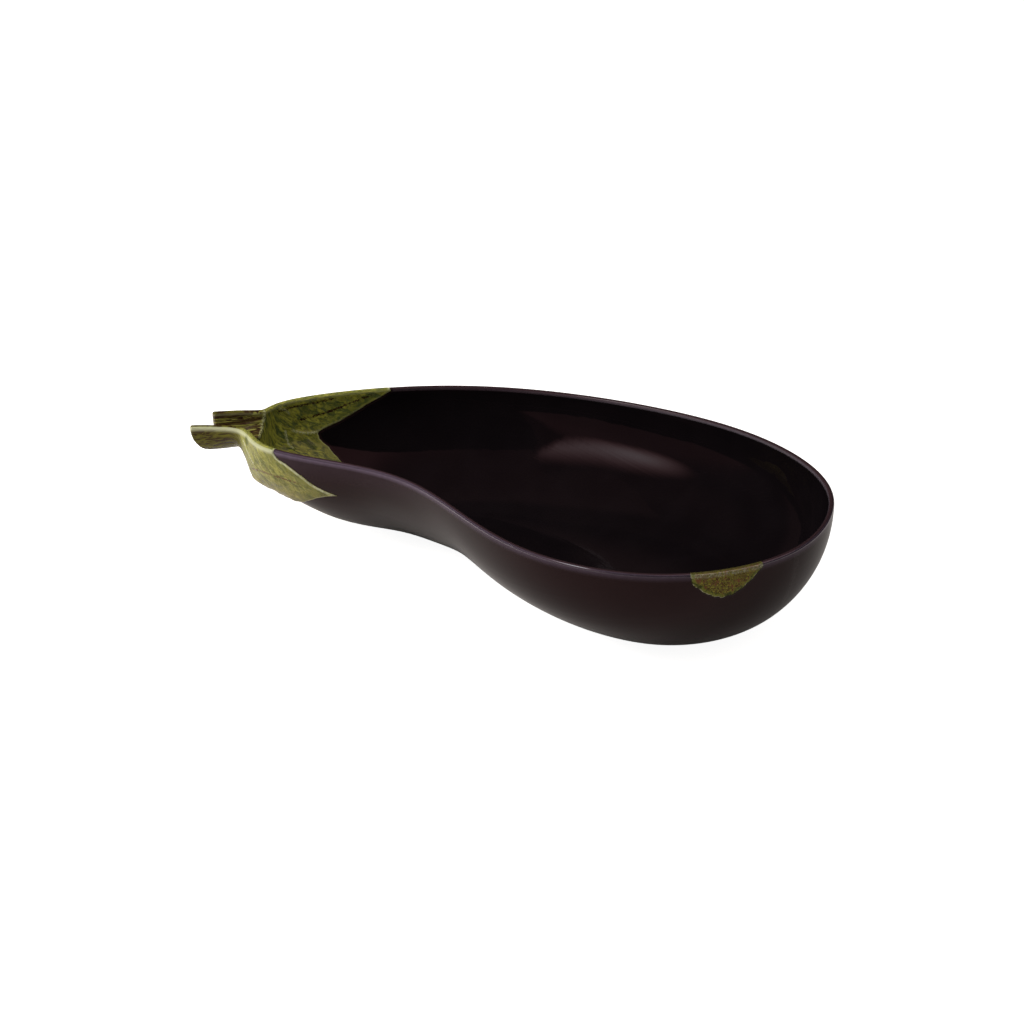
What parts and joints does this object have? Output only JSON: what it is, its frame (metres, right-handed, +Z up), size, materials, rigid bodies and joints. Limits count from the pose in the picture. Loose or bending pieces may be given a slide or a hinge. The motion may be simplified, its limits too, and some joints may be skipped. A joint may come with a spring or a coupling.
{
  "type": "eggplant-shaped serving bowl",
  "caption": "Glazed earthenware serving bowl shaped like a halved, bent eggplant, with an open stem channel, a leafy calyx in low relief and an oval foot ring.",
  "frame": {"origin": "on the table, under the middle of the bowl's bounding box", "axes": "+X runs along the bowl from the stem to the blossom end, +Y across it to the far long side, +Z up out of the open top"},
  "size_m": [0.433, 0.2384, 0.078],
  "materials": {
    "glaze": "glossy aubergine glaze with mottled leaf-green on the stem and calyx",
    "bisque": "unglazed fired clay on the foot ring"
  },
  "bodies": {
    "root": {"bowl": "glaze"}
  },
  "joints": []
}
